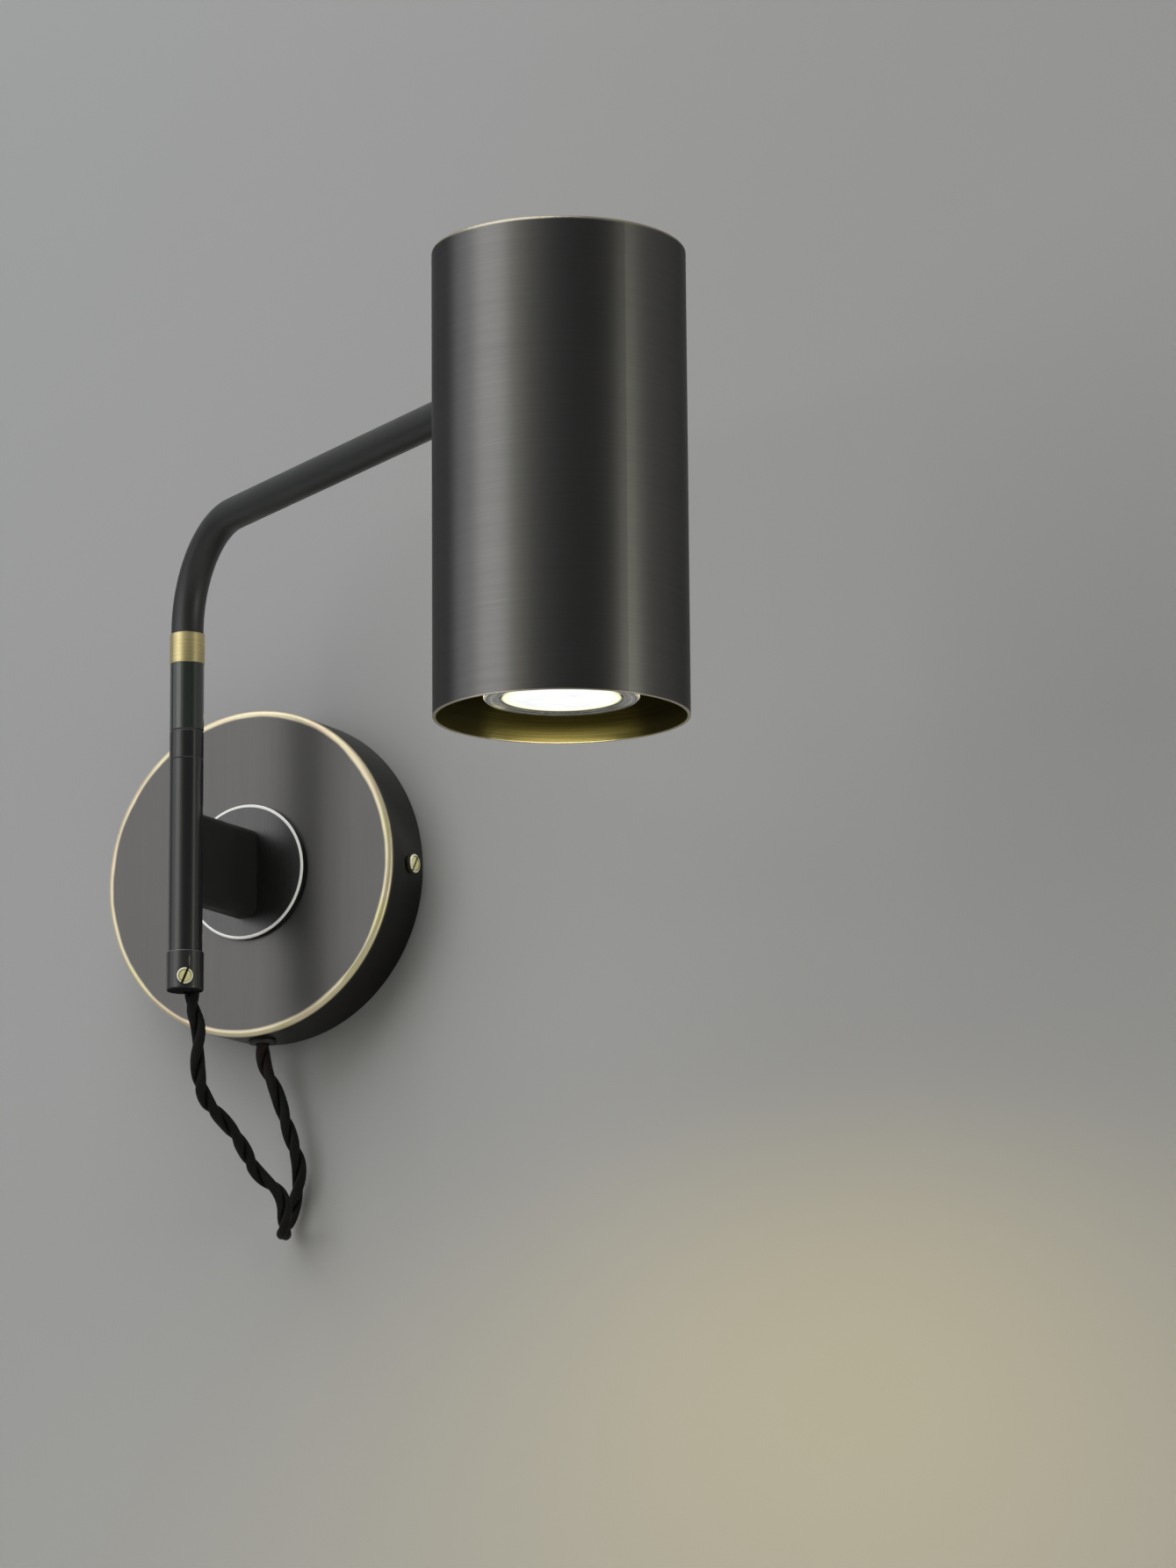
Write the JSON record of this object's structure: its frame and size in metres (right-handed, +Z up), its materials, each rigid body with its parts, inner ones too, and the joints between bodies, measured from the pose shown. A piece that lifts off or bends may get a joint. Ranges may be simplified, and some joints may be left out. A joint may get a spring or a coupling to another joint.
{
  "type": "wall lamp",
  "caption": "Wall reading lamp: round canopy, swivelling bent tube arm and a tall tilting cylinder shade, with a loop of twisted flex.",
  "frame": {"origin": "middle of the wall bracket's back face, on the wall, halfway between the two wall screws", "axes": "+Z up, +Y into the wall, so the lamp stands out along -Y; +X to the right as seen from the room"},
  "size_m": [0.3274, 0.2409, 0.2868],
  "materials": {
    "gunmetal": "brushed, dark bronzed",
    "satin_black": "satin",
    "satin_brass": "satin",
    "zinc_steel": "plated",
    "bearing_plastic": "smooth",
    "block_plastic": "moulded",
    "black_rubber": "matt",
    "black_cord": "braided textile",
    "ceramic": "glazed",
    "lamp_metal": "matt cast",
    "lamp_rim": "satin",
    "lens": "frosted"
  },
  "bodies": {
    "root": {"canopy_cover": "gunmetal", "canopy_side_screws": "satin_brass", "wall_bracket": "zinc_steel", "bracket_earth_screw": "satin_brass", "terminal_block": "block_plastic", "terminal_screws": "zinc_steel", "block_screw": "zinc_steel", "boss_disc": "gunmetal", "backing_plate": "zinc_steel", "stem_bar": "satin_black", "bar_screws": "zinc_steel", "lower_stem": "satin_black", "swivel_collar": "satin_black", "end_cap": "satin_black", "cord_grip_screw": "satin_brass", "stem_flex": "black_cord", "cord_grommet": "black_rubber", "cord_loop": "black_cord", "canopy_leads": "black_cord"},
    "arm": {"swivel_washer": "bearing_plastic", "swivel_spindle": "zinc_steel", "spindle_washer": "zinc_steel", "spindle_nut": "zinc_steel", "upper_sleeve": "satin_black", "brass_ferrule": "satin_brass", "arm_joiner": "zinc_steel", "arm_tube": "satin_black", "arm_flex": "black_cord", "end_socket": "satin_black", "tilt_stop_screw": "satin_brass"},
    "shade": {"tilt_washer": "bearing_plastic", "tilt_spindle": "zinc_steel", "shade_collar": "satin_black", "bracket_washer": "zinc_steel", "lock_nut": "zinc_steel", "shade_shell": "gunmetal", "lamp_bracket": "zinc_steel", "lampholder": "ceramic", "lampholder_screws": "zinc_steel", "bulb_body": "lamp_metal", "bulb_ring": "lamp_rim", "bulb_lens": "lens", "bulb_pins": "zinc_steel", "shade_flex": "black_cord"}
  },
  "joints": [
    {"name": "arm_swing", "type": "hinge", "parent": "root", "child": "arm", "pos_m": [0, -0.065, 0], "axis": [0, 0, -1], "range_deg": [-31, 149]},
    {"name": "shade_tilt", "type": "hinge", "parent": "arm", "child": "shade", "pos_m": [0.18601, -0.17677, 0.117], "axis": [0.8572, -0.515, 0], "range_deg": [-90, 90]}
  ]
}
